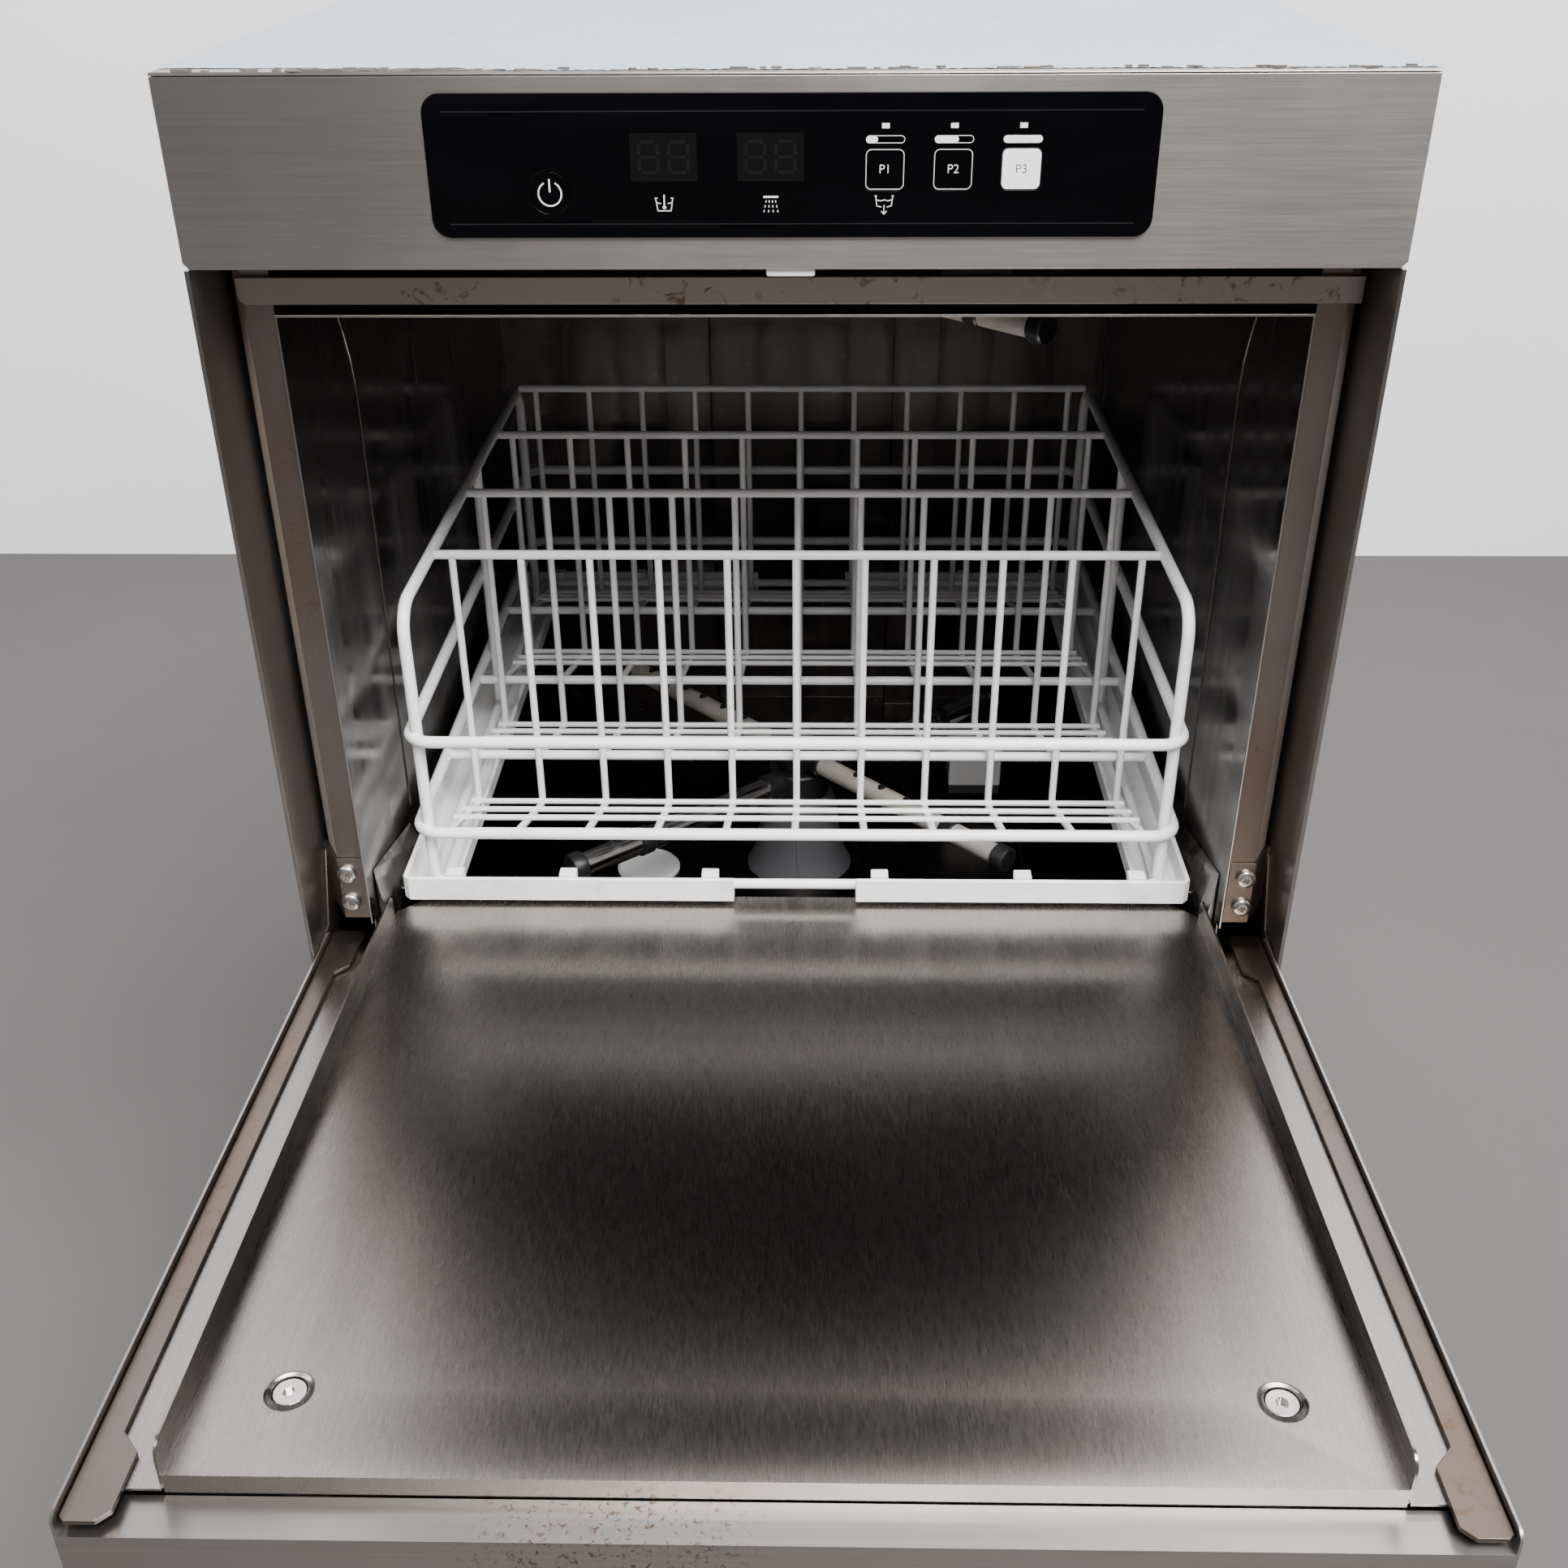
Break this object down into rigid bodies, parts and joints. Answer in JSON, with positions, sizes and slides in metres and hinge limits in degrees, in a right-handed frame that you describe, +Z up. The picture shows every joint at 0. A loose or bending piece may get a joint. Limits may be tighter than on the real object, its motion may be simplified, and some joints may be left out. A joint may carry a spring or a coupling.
{
  "type": "under-counter glass washer machine",
  "caption": "Under-counter commercial glass washer with a drop-down door, a sliding square wire glass rack, rotating wash and rinse arms and a touch-key control panel.",
  "frame": {"origin": "middle of the footprint at floor level, door open, under the feet", "axes": "+X to the right seen from the front, +Y from the open door towards the back, +Z up"},
  "size_m": [0.47, 0.8686, 0.7],
  "materials": {
    "brushed_steel": "satin",
    "film": "satin",
    "tank_steel": "polished",
    "black_gloss": "gloss",
    "black_plastic": "matte",
    "white_plastic": "satin",
    "coated_wire": "satin",
    "beige_plastic": "satin",
    "grey_plastic": "satin",
    "chrome": "polished",
    "galvanised": "satin",
    "circuit": "matte"
  },
  "bodies": {
    "cabinet": {"back_panel": "galvanised", "base_tray": "galvanised", "cable_gland": "black_plastic", "control_board": "circuit", "control_overlay": "black_gloss", "display_rinse": "black_plastic", "display_wash": "black_plastic", "door_catch": "white_plastic", "door_switch": "black_plastic", "drain_pump": "black_plastic", "foot_front_left": "black_plastic", "foot_front_right": "black_plastic", "foot_rear_left": "black_plastic", "foot_rear_right": "black_plastic", "front_column_left": "brushed_steel", "front_column_right": "brushed_steel", "front_fascia": "brushed_steel", "header_rail": "brushed_steel", "hinge_bracket_left": "brushed_steel", "hinge_bracket_right": "brushed_steel", "inlet_valve": "white_plastic", "level_chamber": "white_plastic", "lower_arm_column": "grey_plastic", "lower_front_panel": "brushed_steel", "overflow_disc": "white_plastic", "rack_guide_left": "tank_steel", "rack_guide_right": "tank_steel", "rinse_boiler": "galvanised", "side_panel_left": "brushed_steel", "side_panel_right": "brushed_steel", "tank_filter": "tank_steel", "top_panel": "film", "upper_arm_spindle": "grey_plastic", "wash_pump": "black_plastic", "wash_tank": "tank_steel"},
    "door": {"door_arm_left": "brushed_steel", "door_arm_right": "brushed_steel", "door_handle": "brushed_steel", "door_liner": "brushed_steel", "door_skin": "brushed_steel", "handle_bolt_left": "chrome", "handle_bolt_right": "chrome"},
    "key_power": {"key_power": "black_gloss"},
    "key_program_1": {"key_program_1": "black_gloss"},
    "key_program_2": {"key_program_2": "black_gloss"},
    "key_program_3": {"key_program_3": "white_plastic"},
    "lower_rinse_arm": {"lower_rinse_arm_hub": "black_plastic", "lower_rinse_arm_tube": "beige_plastic"},
    "lower_wash_arm": {"lower_wash_arm_cap_a": "black_plastic", "lower_wash_arm_cap_b": "black_plastic", "lower_wash_arm_hub": "black_plastic", "lower_wash_arm_tube": "chrome"},
    "rack": {"rack_base_left": "white_plastic", "rack_base_right": "white_plastic", "rack_basket": "coated_wire"},
    "upper_rinse_arm": {"upper_rinse_arm_hub": "black_plastic", "upper_rinse_arm_tube": "beige_plastic"},
    "upper_wash_arm": {"upper_wash_arm_hub": "black_plastic", "upper_wash_arm_tube": "chrome"}
  },
  "joints": [
    {"name": "door_hinge", "type": "hinge", "parent": "cabinet", "child": "door", "pos_m": [0, -0.10294, 0.2898], "axis": [-1, 0, 0], "range_deg": [0, 87.86]},
    {"name": "rack_slide", "type": "slide", "parent": "cabinet", "child": "rack", "axis": [0, 0.9993, -0.0373], "range_m": [-0.3, 0]},
    {"name": "lower_wash_arm_spin", "type": "hinge", "parent": "cabinet", "child": "lower_wash_arm", "pos_m": [0, 0.14426, 0.254], "axis": [0, 0, 1], "continuous": true},
    {"name": "lower_rinse_arm_spin", "type": "hinge", "parent": "cabinet", "child": "lower_rinse_arm", "pos_m": [0, 0.14426, 0.2706], "axis": [0, 0, 1], "continuous": true},
    {"name": "upper_wash_arm_spin", "type": "hinge", "parent": "cabinet", "child": "upper_wash_arm", "pos_m": [0, 0.14426, 0.5864], "axis": [0, 0, 1], "continuous": true},
    {"name": "upper_rinse_arm_spin", "type": "hinge", "parent": "cabinet", "child": "upper_rinse_arm", "pos_m": [0, 0.14426, 0.5698], "axis": [0, 0, 1], "continuous": true},
    {"name": "key_power_press", "type": "slide", "parent": "cabinet", "child": "key_power", "axis": [0, 1, 0], "range_m": [0, 0.0006], "stiffness_N_per_m": 1000},
    {"name": "key_program_1_press", "type": "slide", "parent": "cabinet", "child": "key_program_1", "axis": [0, 1, 0], "range_m": [0, 0.0006], "stiffness_N_per_m": 1000},
    {"name": "key_program_2_press", "type": "slide", "parent": "cabinet", "child": "key_program_2", "axis": [0, 1, 0], "range_m": [0, 0.0006], "stiffness_N_per_m": 1000},
    {"name": "key_program_3_press", "type": "slide", "parent": "cabinet", "child": "key_program_3", "axis": [0, 1, 0], "range_m": [0, 0.0006], "stiffness_N_per_m": 1000}
  ]
}
